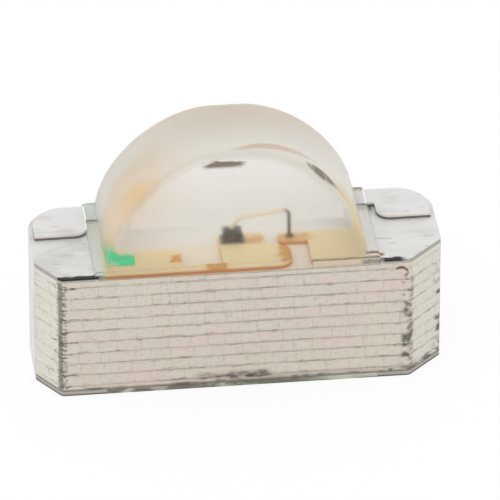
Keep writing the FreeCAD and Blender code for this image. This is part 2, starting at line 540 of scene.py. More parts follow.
@dataclass(frozen=True)
class LowDarkening:
    """Darker patches on the lowest ply and a dark line along its lowest edge, heaviest in the middle of
    the front.
    """

    speckle: Grain = Grain(0.025, (0.42, 0.62), (3, 3, 1), 2.0)
    blot: Grain = Grain(0.12, (0.35, 0.6), (1.5, 1.5, 1))
    blot_share: float = 0.4
    middle: Patch = Patch((-0.28, 0.16, 0.1), (0.0, 0.1, 0.045))
    line: Band = (0.1, 1.0, 0.15)
    line_height: Step = (0.08, 0.045)
    line_least: float = 0.45
    left: Band = (-1.1, -0.3, 0.2)
    left_height: Step = (0.07, 0.045)
    right: Step = (0.8, 1.0)
    right_height: Step = (0.11, 0.05)
    seam_height: Step = (0.058, 0.044)
    seam_share: float = 0.8

    def mask(self, pattern: Pattern) -> bpy.types.NodeSocket:
        """Where the lowest ply is darker.

        Args:
            pattern: The material's patterns.

        Returns:
            The mask of the residue.
        """
        x, z = pattern.x, pattern.z
        speckle, blot = pattern.grain(self.speckle), pattern.grain(self.blot)
        speckle_part = pattern.math("MULTIPLY", speckle, 1 - self.blot_share)
        patchy = pattern.math("MULTIPLY_ADD", blot, self.blot_share, speckle_part)
        line = pattern.product(pattern.band(x, *self.line), pattern.ramp(z, *self.line_height))
        return pattern.most(
            pattern.product(pattern.patch(x, z, self.middle), patchy),
            pattern.product(line, pattern.most(patchy, self.line_least)),
            pattern.product(pattern.band(x, *self.left), pattern.ramp(z, *self.left_height), blot),
            pattern.product(pattern.ramp(x, *self.right), pattern.ramp(z, *self.right_height), speckle),
            pattern.product(pattern.ramp(z, *self.seam_height), self.seam_share),
        )


@dataclass(frozen=True)
class ChippedPlace:
    """Broken brown ring round the small chipped place under the right land."""

    middle: tuple[float, float] = (1.17, 0.885)
    ring: Band = (0.04, 0.05, 0.012)
    front: Step = (-0.4, -0.45)
    upper: Step = (-0.03, 0.02)
    wear: Grain = Grain(0.03, (0.35, 0.5))

    def mask(self, pattern: Pattern) -> bpy.types.NodeSocket:
        """Where the ring shows.

        Args:
            pattern: The material's patterns.

        Returns:
            The mask of the ring.
        """
        across = pattern.math("SUBTRACT", pattern.x, self.middle[0])
        up = pattern.math("SUBTRACT", pattern.z, self.middle[1])
        square = pattern.math("ADD", pattern.product(across, across), pattern.product(up, up))
        return pattern.product(
            pattern.band(pattern.math("SQRT", square), *self.ring),
            pattern.ramp(pattern.y, *self.front),
            pattern.ramp(pattern.math("ADD", across, up), *self.upper),
            pattern.grain(self.wear),
        )


@dataclass(frozen=True)
class SawnLaminate:
    """Sawn glass laminate: pale matt resin, brownish ply joints and a faint tone for each fibre bundle.

    Grime sits along the sawn corners and the lowest ply is darker, both where the photograph has them.
    """

    # Sawn through resin and fibre, so it is dull and even: only its joints and grime catch the eye
    name: str = "sawn_glass_epoxy_laminate"
    roughness: float = 0.8
    fibre_relief: float = 0.003
    resin: str = "#D1C9BC"
    rosy: str = "#D4C5BB"
    clouds: Grain = Grain(0.3, (0.42, 0.62), (2, 2, 1))
    greenish: str = "#CBCBBD"
    greenish_share: float = 0.55
    # The corner facets look paler than the front.
    facet: str = "#DAD9CD"
    facet_share: float = 0.85
    facet_back: Step = (-0.495, -0.47)
    facet_along: Step = (1.1, 1.2)
    # Single fibres are finer than a pixel, so these are drawn coarser than they are.
    weft: Grain = Grain(0.012, (0.5, 0.75), (6, 6, 1), 2.0)
    weft_share: float = 0.2
    warp: Grain = Grain(0.01, (0.5, 0.75), (1, 1, 6), 2.0)
    warp_share: float = 0.15
    # Joints of bundles and plies
    joint: str = "#87776C"
    seam: Step = (0.06, 0.02)
    seam_wear: Grain = Grain(0.07, (0.4, 0.6))
    seam_share: float = 0.2
    joint_half: float = 0.1
    joint_wave: Grain = Grain(0.12, stretch=(2, 2, 1))
    joint_shift: float = 0.08
    joint_wear: Grain = Grain(0.08, (0.38, 0.6), (4, 4, 1))
    joint_least: float = 0.25
    joint_share: float = 0.4
    left_facet: Step = (-1.36, -1.3)
    left_facet_share: float = 0.4
    # Broken flecks along the ply joints, heavier towards the left
    fleck: str = "#7A5E50"
    fleck_half: float = 0.3
    flecks: Grain = Grain(0.02, (0.53, 0.66), (5, 5, 1), 2.0)
    fleck_along: Step = (0.3, -0.6)
    fleck_share: Span = (0.4, 0.75)
    # Grime, the darker lowest ply and the chipped place
    chip: str = "#6E5F3F"
    grime: str = "#453C33"
    grime_share: float = 0.85
    dash_half: float = 0.22
    front_only: Step = (-0.1, -0.2)
    # The top, with a painted warm reflection of the metal round the traces
    top: str = "#FFFEFA"
    glow: str = "#FFF6E4"
    glow_along: Band = (-0.95, 0.9, 0.1)
    glow_back: Step = (0.35, 0.0)
    glow_clouds: Grain = Grain(0.2)
    glow_share: Span = (0.4, 1.2)
    top_front: Step = (-0.465, -0.485)
    top_front_share: float = 0.6
    top_height: Step = (0.962, 0.9645)

    def bundles(self, pattern: Pattern) -> tuple[bpy.types.NodeSocket, bpy.types.NodeSocket]:
        """Fibre bundles by the same layout as the joints of the board's mesh.

        Args:
            pattern: The material's patterns.

        Returns:
            A random tone for each bundle, and a mask of the joints between them.
        """
        layout = PLIES
        row = pattern.math("SUBTRACT", pattern.z, layout.low)
        row = pattern.math("FLOOR", pattern.math("DIVIDE", row, layout.pitch))
        back = pattern.math("SUBTRACT", pattern.y, layout.front)
        back = pattern.product(back, layout.fold, pattern.math("SIGN", pattern.x))
        along = pattern.math("ADD", pattern.x, back)
        phase = pattern.math("MULTIPLY", along, layout.sway_rate)
        phase = pattern.math("MULTIPLY_ADD", row, layout.sway_shift, phase)
        swayed = pattern.math("MULTIPLY_ADD", pattern.math("SINE", phase), layout.sway, along)
        passed = pattern.math("MULTIPLY", row, layout.stagger)
        passed = pattern.math("MULTIPLY_ADD", swayed, 1 / layout.bundle, passed)
        cell = {"X": pattern.math("FLOOR", passed), "Y": row}
        cell = add_node(pattern.tree, "ShaderNodeCombineXYZ", cell).outputs["Vector"]
        tone = add_node(pattern.tree, "ShaderNodeTexWhiteNoise", {"Vector": cell}).outputs["Value"]
        # How far the nearest joint is, as a share of a bundle
        apart = pattern.math("PINGPONG", passed, 0.5)
        return tone, pattern.product(pattern.ramp(apart, *self.seam), pattern.grain(self.seam_wear))

    def ply_joint(self, pattern: Pattern, half: float) -> bpy.types.NodeSocket:
        """Thin line at each ply joint, here and there broken.

        Args:
            pattern: The material's patterns.
            half: Half the line's width, as a share of a ply.

        Returns:
            The mask of the lines.
        """
        level = pattern.math("DIVIDE", pattern.math("SUBTRACT", pattern.z, PLIES.low), PLIES.pitch)
        level = pattern.uneven(level, self.joint_wave, -self.joint_shift, self.joint_shift)
        line = pattern.ramp(pattern.math("PINGPONG", level, 0.5), half, half / 4)
        worn = pattern.between(pattern.grain(self.joint_wear), self.joint_least, 1.0)
        return pattern.product(line, worn)

    def level_top(self, pattern: Pattern) -> bpy.types.NodeSocket:
        """Colour of the board's top, with a painted warm reflection of the metal round the traces.

        Args:
            pattern: The material's patterns.

        Returns:
            The colour.
        """
        # Painted warm reflection of the metal round the traces
        warm = pattern.product(
            pattern.band(pattern.x, *self.glow_along),
            pattern.ramp(pattern.y, *self.glow_back),
            pattern.between(pattern.noise(self.glow_clouds), *self.glow_share),
        )
        front = pattern.ramp(pattern.y, *self.top_front)
        return pattern.layers(
            self.top, (warm, 1.0, self.glow), (front, self.top_front_share, self.resin)
        )

    def build(self) -> bpy.types.Material:
        """Make the node material.

        Returns:
            The material.
        """
        pattern = Pattern(self.name)
        x, y = pattern.x, pattern.y
        tone, seam = self.bundles(pattern)
        beside = pattern.product(
            pattern.ramp(y, *self.facet_back),
            pattern.ramp(pattern.math("ABSOLUTE", x), *self.facet_along),
        )
        weft = pattern.noise(self.weft)
        calm = pattern.between(pattern.ramp(x, *self.left_facet), self.left_facet_share, 1.0)
        lines = pattern.product(self.ply_joint(pattern, self.joint_half), calm)
        flecks = pattern.product(
            self.ply_joint(pattern, self.fleck_half),
            calm,
            pattern.grain(self.flecks),
            pattern.between(pattern.ramp(x, *self.fleck_along), *self.fleck_share),
        )
        dashes = self.ply_joint(pattern, self.dash_half)
        # Grime along the sawn corners, and the darker lowest ply
        grime = pattern.most(CornerGrime().mask(pattern, dashes), LowDarkening().mask(pattern))
        grime = pattern.product(grime, pattern.ramp(y, *self.front_only))
        resin = pattern.layers(
            pattern.mix(pattern.grain(self.clouds), self.rosy, self.resin),
            (tone, self.greenish_share, self.greenish),
            (beside, self.facet_share, self.facet),
            (pattern.ramp(weft, *self.weft.step), self.weft_share, self.joint),
            (pattern.grain(self.warp), self.warp_share, self.joint),
            (seam, self.seam_share, self.joint),
            (lines, self.joint_share, self.joint),
            (flecks, 1.0, self.fleck),
            (ChippedPlace().mask(pattern), 1.0, self.chip),
            (grime, self.grime_share, self.grime),
            (pattern.ramp(pattern.z, *self.top_height), 1.0, self.level_top(pattern)),
        )
        return pattern.surface(
            {
                "Base Color": resin,
                "Roughness": self.roughness,
                "Normal": pattern.bump(weft, self.fibre_relief),
            }
        )


@dataclass(frozen=True)
class SilverPlating:
    """Satin silver over copper foil, left as gold where the epoxy covers it.

    Cut edges are dark: brown along the raised land and amber inside the epoxy, and a nearly black strip
    runs along the front of the top. The gold has darker places where flux ran off the die pad.
    """

    # Plated and lightly handled, so it gives broad soft lights with faint clouds and hairlines
    name: str = "satin_silver_plating"
    metallic: float = 0.2
    roughness: float = 0.45
    relief: float = 0.004
    silver: str = "#DFDEDC"
    cloud: str = "#CFCDCA"
    clouds: Grain = Grain(0.16, (0.42, 0.68), (2, 1, 1))
    hairline: str = "#A8A29C"
    hairlines: Grain = Grain(0.02, (0.6, 0.72), (9, 1.5, 1.5), 2.0)
    hairline_share: float = 0.5
    # Painted light: brighter under the foot of the lens, where the epoxy keeps the lamp's direct light
    # off the metal
    bright: str = "#FFFFFF"
    footing: Band = (-1.07, 1.01, 0.01)
    level: Step = (0.9, 0.95)
    # Dark edges: of the raised land, of the wall plating and its lower end, and of the sawn lip
    land_edge: str = "#75685F"
    land_height: Band = (1.0, 1.018, 0.002)
    burr: str = "#8E857B"
    burr_share: float = 0.7
    burr_front: Step = (-0.22, -0.245)
    low_edge: str = "#4A433B"
    low_edge_share: float = 0.9
    low_edge_height: Step = (0.018, 0.006)
    lip: str = "#16120F"
    lip_wear: Grain = Grain(0.06)
    lip_shift: float = 0.035
    lip_front: Step = (-0.44, -0.455)
    lip_height: Step = (0.98, 0.988)
    lip_end: Step = (1.22, 1.16)
    # Gold under the epoxy, with its stains
    gold: str = "#FFEBB8"
    gold_along: Band = (-0.98, 0.86, 0.05)
    gold_back: Step = (0.27, 0.22)
    amber: str = "#D88A2C"
    amber_height: Step = (0.994, 0.984)
    stain: str = "#E6A030"
    stain_wear: Grain = Grain(0.07)
    stain_shift: float = 0.08
    trace_end: Patch = Patch((-0.48, -0.44, 0.05), (-0.26, -0.18, 0.06))
    pad_right: Patch = Patch((0.32, 0.42, 0.06), (-0.36, -0.02, 0.08))
    pad_back: Patch = Patch((0.05, 0.5, 0.1), (0.03, 0.1, 0.05))
    pad_back_share: float = 0.7
    link: Band = (-0.24, -0.12, 0.05)
    link_front: Step = (-0.34, -0.38)
    # Pale strip along the front of the right trace, with a thin brown line behind it
    strip: str = "#FFF4DE"
    strip_along: Band = (0.52, 1.04, 0.03)
    strip_height: Step = (0.93, 0.96)
    strip_wave: Grain = Grain(0.2)
    strip_shift: float = 0.04
    strip_front: Step = (-0.38, -0.392)
    line: str = "#A07838"
    line_back: Band = (-0.415, -0.38, 0.008)

    def edges(self, pattern: Pattern, silver: bpy.types.NodeSocket) -> bpy.types.NodeSocket:
        """Darken the cut edges of the foil and of the wall plating.

        Args:
            pattern: The material's patterns.
            silver: Colour of the level metal.

        Returns:
            The colour with its dark edges.
        """
        upright = pattern.upright()
        cut = pattern.product(upright, pattern.ramp(pattern.y, *self.burr_front))
        ragged = pattern.uneven(pattern.y, self.lip_wear, 0.0, self.lip_shift)
        lip = pattern.product(
            pattern.ramp(ragged, *self.lip_front),
            pattern.ramp(pattern.z, *self.lip_height),
            pattern.ramp(pattern.x, *self.lip_end),
        )
        land = pattern.product(upright, pattern.band(pattern.z, *self.land_height))
        low = pattern.product(cut, pattern.ramp(pattern.z, *self.low_edge_height))
        return pattern.layers(
            silver,
            (land, 1.0, self.land_edge),
            (cut, self.burr_share, self.burr),
            (low, self.low_edge_share, self.low_edge),
            (lip, 1.0, self.lip),
        )

    def stains(self, pattern: Pattern) -> bpy.types.NodeSocket:
        """Darker places of the gold: by the link, at the right of the die pad and along its rear.

        Args:
            pattern: The material's patterns.

        Returns:
            The mask of the stains.
        """
        ragged = pattern.between(pattern.noise(self.stain_wear), -self.stain_shift, self.stain_shift)
        x = pattern.math("ADD", pattern.x, ragged)
        y = pattern.math("ADD", pattern.y, ragged)
        return pattern.most(
            pattern.patch(x, y, self.trace_end),
            pattern.product(pattern.band(x, *self.link), pattern.ramp(y, *self.link_front)),
            pattern.patch(x, y, self.pad_right),
            pattern.product(pattern.patch(x, y, self.pad_back), self.pad_back_share),
        )

    def build(self) -> bpy.types.Material:
        """Make the node material.

        Returns:
            The material.
        """
        pattern = Pattern(self.name)
        soft = pattern.noise(self.clouds)
        level = pattern.ramp(pattern.z, *self.level)
        silver = pattern.layers(
            self.silver,
            (pattern.ramp(soft, *self.clouds.step), 1.0, self.cloud),
            # Painted light under the foot of the lens
            (pattern.band(pattern.x, *self.footing), level, self.bright),
            (pattern.grain(self.hairlines), self.hairline_share, self.hairline),
        )
        silver = self.edges(pattern, silver)
        waved = pattern.uneven(pattern.y, self.strip_wave, 0.0, self.strip_shift)
        right = pattern.product(
            pattern.band(pattern.x, *self.strip_along), pattern.ramp(pattern.z, *self.strip_height)
        )
        gold = pattern.layers(
            self.gold,
            (self.stains(pattern), 1.0, self.stain),
            (pattern.upright(), pattern.ramp(pattern.z, *self.amber_height), self.amber),
            (right, pattern.ramp(waved, *self.strip_front), self.strip),
        )
        under = pattern.product(
            pattern.band(pattern.x, *self.gold_along), pattern.ramp(pattern.y, *self.gold_back), level
        )
        metal = pattern.layers(
            silver, (under, 1.0, gold), (right, pattern.band(waved, *self.line_back), self.line)
        )
        return pattern.surface(
            {
                "Base Color": metal,
                "Metallic": pattern.between(under, self.metallic, 0.0),
                "Roughness": self.roughness,
                "Normal": pattern.bump(soft, self.relief),
            }
        )


@dataclass(frozen=True)
class ClearEpoxy:
    """Transfer-moulded clear epoxy: a little milky and warm, and matt from the mould's spark finish.

    The photograph shows a warm glow low on its left shoulder, painted as an amber reflection of the
    gold, a green glow on the left of the foot, painted as light from the green ink, and thin brown
    streaks along the front rim.
    Depths are measured back from the leaning front face.
    """

    # Moulded against spark-finished steel, so what lies inside is soft and the crown looks frosted
    name: str = "transfer_moulded_epoxy"
    colour: str = "#FFFEFA"
    ior: float = 1.5
    transmission: float = 0.97
    face_roughness: float = 0.2
    crown_roughness: float = 0.32
    crown_depth: Step = (0.004, 0.03)
    front: float = -0.5
    base: float = 1.0
    lean: float = 0.111
    # Rear face, darker towards the board, where the photograph is hazy
    rear: str = "#E9E7E5"
    rear_low: str = "#D3CCC0"
    rear_low_height: Step = (1.5, 1.04)
    rear_back: Step = (0.43, 0.47)
    rear_roughness: float = 0.55
    # Warm haze low on the front face, and a rosy one along the top of the rim
    low_haze: str = "#FFFAF0"
    low_haze_height: Step = (1.35, 1.1)
    low_haze_depth: Step = (0.03, 0.0)
    haze: str = "#DDBFA8"
    haze_slope: float = -0.2
    haze_spot: Oval = Oval((0.25, 0.1), (0.3, 0.04))
    # Painted green glow of the ink on the left of the foot
    painted_ink_glow: str = "#EEF8F0"
    ink_glow_along: Step = (-0.97, -1.0)
    ink_glow_height: Step = (1.2, 1.1)
    # Painted amber reflection of the gold: ovals in the plane of the way up the shoulder and the way
    # across it
    painted_gold_reflection: str = "#FFC87C"
    gold_reflection_back: float = 0.6
    gold_reflection_slope: float = 1.34
    gold_reflection_strong: Oval = Oval((0.3, 2.12), (0.68, 0.24), 0.1)
    gold_reflection_wide: Oval = Oval((0.3, 2.22), (0.95, 0.6), 0.2)
    gold_reflection_wide_share: float = 0.6
    gold_reflection_depth: Band = (0.05, 0.5, 0.15)
    gold_reflection_clouds: Grain = Grain(0.25)
    gold_reflection_share: Span = (0.65, 1.25)
    # Brown streaks: over the middle, on the right shoulder and its tail down the rim
    streak: str = "#54432F"
    streak_wear: Grain = Grain(0.03, (0.3, 0.45), (5, 5, 1))
    streak_shift: float = 0.01
    streak_top: Oval = Oval((-0.12, 0.007), (0.16, 0.006))
    streak_top_height: Step = (1.79, 1.82)
    streak_shoulder: Oval = Oval((0.6, 0.095), (0.11, 0.06))
    tail_along: Step = (0.64, 0.7)
    tail_depth: Band = (0.076, 0.08, 0.008)
    tail_height: Step = (1.25, 1.35)
    tail_share: float = 0.6

    def streaks(self, pattern: Pattern, depth: bpy.types.NodeSocket) -> bpy.types.NodeSocket:
        """Brown streaks along the front rim, as the photograph shows them.

        Args:
            pattern: The material's patterns.
            depth: How far a place lies behind the front face.

        Returns:
            The mask of the streaks.
        """
        x, z = pattern.x, pattern.z
        wavy = pattern.uneven(depth, self.streak_wear, -self.streak_shift, self.streak_shift)
        tail = pattern.product(
            pattern.ramp(x, *self.tail_along),
            pattern.band(wavy, *self.tail_depth),
            pattern.ramp(z, *self.tail_height),
        )
        top = pattern.oval(x, wavy, self.streak_top)
        shoulder = pattern.oval(x, wavy, self.streak_shoulder)
        return pattern.most(
            pattern.product(top, pattern.ramp(z, *self.streak_top_height)),
            pattern.product(shoulder, pattern.grain(self.streak_wear)),
            pattern.product(tail, self.tail_share),
        )

    def shoulder_gold_reflection(self, pattern: Pattern, depth: bpy.types.NodeSocket) -> bpy.types.NodeSocket:
        """Painted amber reflection of the gold that runs up the left shoulder, strongest near the front
        rim.

        Args:
            pattern: The material's patterns.
            depth: How far a place lies behind the front face.

        Returns:
            The mask of the bloom.
        """
        level = pattern.math("MULTIPLY_ADD", pattern.y, self.gold_reflection_back, pattern.z)
        along = pattern.math("MULTIPLY_ADD", pattern.x, self.gold_reflection_slope, level)
        across = pattern.math("SUBTRACT", level, pattern.x)
        wide = pattern.product(pattern.oval(along, across, self.gold_reflection_wide), self.gold_reflection_wide_share)
        return pattern.product(
            pattern.most(pattern.oval(along, across, self.gold_reflection_strong), wide),
            pattern.band(depth, *self.gold_reflection_depth),
            pattern.between(pattern.noise(self.gold_reflection_clouds), *self.gold_reflection_share),
        )

    def build(self) -> bpy.types.Material:
        """Make the node material.

        Returns:
            The material.
        """
        pattern = Pattern(self.name)
        x, y, z = pattern.x, pattern.y, pattern.z
        rise = pattern.math("SUBTRACT", z, self.base)
        depth = pattern.math("SUBTRACT", y, pattern.math("MULTIPLY_ADD", rise, self.lean, self.front))
        at_rear = pattern.ramp(pattern.math("MULTIPLY_ADD", rise, self.lean, y), *self.rear_back)
        rear = pattern.mix(pattern.ramp(z, *self.rear_low_height), self.rear, self.rear_low)
        low = pattern.ramp(z, *self.low_haze_height)
        rising = pattern.math("MULTIPLY_ADD", x, self.haze_slope, depth)
        colour = pattern.layers(
            self.colour,
            (at_rear, 1.0, rear),
            (low, pattern.ramp(depth, *self.low_haze_depth), self.low_haze),
            # Painted amber reflection of the gold on the left shoulder
            (self.shoulder_gold_reflection(pattern, depth), 1.0, self.painted_gold_reflection),
            (pattern.oval(x, rising, self.haze_spot), 1.0, self.haze),
            # Painted green glow of the ink on the left of the foot
            (pattern.ramp(x, *self.ink_glow_along), pattern.ramp(z, *self.ink_glow_height), self.painted_ink_glow),
            (self.streaks(pattern, depth), 1.0, self.streak),
        )
        frosted = pattern.ramp(depth, *self.crown_depth)
        matt = pattern.between(frosted, self.face_roughness, self.crown_roughness)
        added = self.rear_roughness - self.crown_roughness
        return pattern.surface(
            {
                "Base Color": colour,
                "Roughness": pattern.math("MULTIPLY_ADD", at_rear, added, matt),
                "IOR": self.ior,
                "Transmission Weight": self.transmission,
            }
        )


@dataclass(frozen=True)
class SolderResist:
    """Thin grey-green film, darker over the left and the middle of its cut edge and along its lowest
    edge.
    """

    # A thin cured film, so it is satin and only its clouded edge shows
    name: str = "screened_solder_resist"
    roughness: float = 0.5
    film: str = "#C3C8B6"
    shade: str = "#A9AF9B"
    clouds: Grain = Grain(0.05, stretch=(3, 3, 1))
    # Darker over the left and the middle of the cut edge and along its lowest edge
    dark_edge: str = "#5F594E"
    dark_edge_share: float = 0.9
    dark_edge_along: Step = (0.75, 0.35)
    dark_edge_height: Step = (0.012, 0.004)
    dark_edge_clouds: Grain = Grain(0.09, (0.3, 0.55), (2, 2, 1))
    front: Step = (-0.47, -0.49)

    def build(self) -> bpy.types.Material:
        """Make the node material.

        Returns:
            The material.
        """
        pattern = Pattern(self.name)
        cloud = pattern.noise(self.clouds)
        front = pattern.ramp(pattern.y, *self.front)
        # Darker over the left and the middle of the cut edge, and along its lowest edge
        dark_edge_mask = pattern.most(
            pattern.ramp(pattern.x, *self.dark_edge_along), pattern.ramp(pattern.z, *self.dark_edge_height)
        )
        dark_edge_mask = pattern.product(dark_edge_mask, pattern.grain(self.dark_edge_clouds), front)
        film = pattern.layers(
            self.film,
            (pattern.ramp(cloud, *self.clouds.step), 1.0, self.shade),
            (dark_edge_mask, self.dark_edge_share, self.dark_edge),
        )
        return pattern.surface(
            {
                "Base Color": film,
                "Roughness": self.roughness,
                "Normal": pattern.bump(cloud, FILM_RELIEF),
            }
        )


@dataclass(frozen=True)
class GoldWire:
    """Gold bond wire: pale where its loop mirrors the haze, dark brown where it drops to the trace."""

    # Drawn bright and thin as a hair, so it mirrors what is round it more than it shows gold
    name: str = "drawn_gold_wire"
    metallic: float = 0.6
    roughness: float = 0.35
    relief: float = 0.001
    pale: str = "#EDE0BE"
    drop: str = "#5E3F1A"
    drop_along: Step = (0.35, 0.41)
    clouds: Grain = Grain(0.03)
    shift: float = 0.04

    def build(self) -> bpy.types.Material:
        """Make the node material.

        Returns:
            The material.
        """
        pattern = Pattern(self.name)
        drop = pattern.ramp(pattern.uneven(pattern.x, self.clouds, 0.0, self.shift), *self.drop_along)
        return pattern.surface(
            {
                "Base Color": pattern.mix(drop, self.pale, self.drop),
                "Roughness": self.roughness,
                "Metallic": self.metallic,
                "Normal": pattern.bump(pattern.noise(self.clouds), self.relief),
            }
        )


@dataclass(frozen=True)
class PrintedInk:
    """Green ink printed on the gold, worn down to a pale film at its left end.

    The photograph shows a crisp bar that ends short of the lens's rim, and a pale green veil beyond.
    """

    # Screen printed, so it is a flat and even film with a strong colour
    name: str = "screen_printed_green_ink"
    roughness: float = 0.5
    green: str = "#00FFB4"
    shade: str = "#00F0A0"
    clouds: Grain = Grain(0.05)
    worn: str = "#D5F2D8"
    worn_along: Step = (-0.878, -0.89)
    wear: Grain = Grain(0.02)
    wear_shift: float = 0.016

    def build(self) -> bpy.types.Material:
        """Make the node material.

        Returns:
            The material.
        """
        pattern = Pattern(self.name)
        cloud = pattern.noise(self.clouds)
        ragged = pattern.uneven(pattern.x, self.wear, 0.0, self.wear_shift)
        ink = pattern.layers(
            self.green,
            (pattern.ramp(cloud, *self.clouds.step), 1.0, self.shade),
            (pattern.ramp(ragged, *self.worn_along), 1.0, self.worn),
        )
        return pattern.surface(
            {
                "Base Color": ink,
                "Roughness": self.roughness,
                "Normal": pattern.bump(cloud, FILM_RELIEF),
            }
        )


@dataclass
class LaminateBoard:
    """Board cut from a sheet of glass laminate, with a fine groove at each ply and each bundle joint.

    Attributes:
        groove: Half the width of the groove at a ply joint.
        groove_depth: How far that groove lies behind the deepest ply.
        joint: Half the width of the groove at a bundle joint.
        joint_depth: Depth of that groove.
        setback: How far the most worn ply is set back.
        seed: Start of the random setbacks.
        merge: Corners closer than this are one.
        flat_angle: Faces that differ by fewer degrees are one.
        cut_slack: Corners closer than this to a cut lie on it.
        level_limit: Rise of a normal below which a face stands upright.
        end_limit: Share of a normal along Y below which a face belongs to the ends.
        least_area: Smallest face that is a sawn ply.
        front_limit: Share of a normal along Y above which a face is the front or the rear.
    """

    groove: float = 0.004
    groove_depth: float = 0.0003
    joint: float = 0.004
    joint_depth: float = 0.0008
    setback: float = 0.0006
    seed: int = 7
    merge: float = 1e-5
    flat_angle: float = 0.3
    cut_slack: float = 1e-6
    level_limit: float = 0.05
    end_limit: float = 0.3
    least_area: float = 0.01
    front_limit: float = 0.9

    def solid(self) -> bmesh.types.BMesh:
        """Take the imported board, with its flat faces whole again.

        Returns:
            The board in millimetres.
        """
        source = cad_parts["laminate_board"]
        mesh = bmesh.new()
        mesh.from_mesh(source.data)
        mesh.transform(Matrix.Scale(1 / MM, 4) @ source.matrix_world)
        bmesh.ops.remove_doubles(mesh, verts=mesh.verts, dist=self.merge)
        limit = math.radians(self.flat_angle)
        bmesh.ops.dissolve_limit(mesh, angle_limit=limit, verts=mesh.verts[:], edges=mesh.edges[:])
        return mesh

    def cut(self, mesh: bmesh.types.BMesh, place: Vector, normal: Vector, geometry: list) -> dict:
        """Cut some geometry along a plane and keep both sides.

        Args:
            mesh: The mesh.
            place: A point of the plane.
            normal: The plane's normal.
            geometry: Corners, edges and faces that may be cut.

        Returns:
            The cut geometry, and the part of it that lies in the plane.
        """
        return bmesh.ops.bisect_plane(
            mesh, geom=geometry, plane_co=place, plane_no=normal, dist=self.cut_slack
        )

    def ply_grooves(self, mesh: bmesh.types.BMesh) -> None:
        """Cut a shallow groove at each ply joint, and set each ply back a little unevenly.

        Args:
            mesh: The board.
        """
        up = Vector((0, 0, 1))
        sunk = []
        for height in PLIES.heights():
            for step in (-1, 0, 1):
                whole = mesh.verts[:] + mesh.edges[:] + mesh.faces[:]
                made = self.cut(mesh, Vector((0, 0, height + step * self.groove)), up, whole)
                if not step:
                    sunk += verts_of(made["geom_cut"])
        mesh.normal_update()
        uneven = random.Random(self.seed)
        setbacks = [uneven.uniform(0, self.setback) for _ in range(PLIES.count + 1)]
        depths = {}
        for vert in mesh.verts:
            ply = math.floor((vert.co.z - PLIES.low) / PLIES.pitch) + 1
            depths[vert] = setbacks[max(0, min(PLIES.count, ply))]
        depths.update((vert, self.setback + self.groove_depth) for vert in sunk)
        for vert, depth in depths.items():
            vert.co -= Vector((vert.normal.x, vert.normal.y, 0)).normalized() * depth

    def sawn_faces(self, mesh: bmesh.types.BMesh) -> list[bmesh.types.BMFace]:
        """Find the faces of single plies at the front, the rear and the corner facets.

        Args:
            mesh: The board, with its ply grooves.

        Returns:
            The faces.
        """
        return [
            face
            for face in mesh.faces
            if abs(face.normal.z) < self.level_limit
            and abs(face.normal.y) > self.end_limit
            and face.calc_area() > self.least_area
        ]

    def bundle_joints(self, mesh: bmesh.types.BMesh) -> int:
        """Cut the upright joints between fibre bundles into the sawn faces.

        Args:
            mesh: The board, with its ply grooves.

        Returns:
            The number of joints.
        """
        mesh.normal_update()
        made = 0
        for face in self.sawn_faces(mesh):
            centre, outward = face.calc_center_median(), face.normal.copy()
            row = math.floor((centre.z - PLIES.low) / PLIES.pitch)
            turn = 0.0 if outward.y > self.front_limit else math.copysign(PLIES.fold, centre.x)
            across = Vector((1, turn, 0)).normalized()
            along = [vert.co.x + turn * (vert.co.y - PLIES.front) for vert in face.verts]
            margin = 2 * self.joint
            geometry = [face] + face.edges[:] + face.verts[:]
            for place in PLIES.joints(row, min(along) + margin, max(along) - margin):
                for step in (-1, 0, 1):
                    point = Vector((place + step * self.joint, PLIES.front, 0))
                    result = self.cut(mesh, point, across, geometry)
                    geometry = result["geom"]
                    if not step:
                        bottom = verts_of(result["geom_cut"])
                        bmesh.ops.translate(mesh, verts=bottom, vec=-outward * self.joint_depth)
                made += 1
        return made

    def build(self) -> bpy.types.Object:
        """Cut the grooves and put the board in the frame.

        Returns:
            The board, in metres.
        """
        mesh = self.solid()
        self.ply_grooves(mesh)
        joints = self.bundle_joints(mesh)
        LOG.info("board: %d bundle joints", joints)
        report_mesh(mesh, "board")
        bmesh.ops.scale(mesh, verts=mesh.verts, vec=(MM,) * 3)
        piece = as_object(mesh, "sawn_board")
        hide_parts("laminate_board")
        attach(piece, BODY)
        dress(piece, SawnLaminate().build())
        return piece


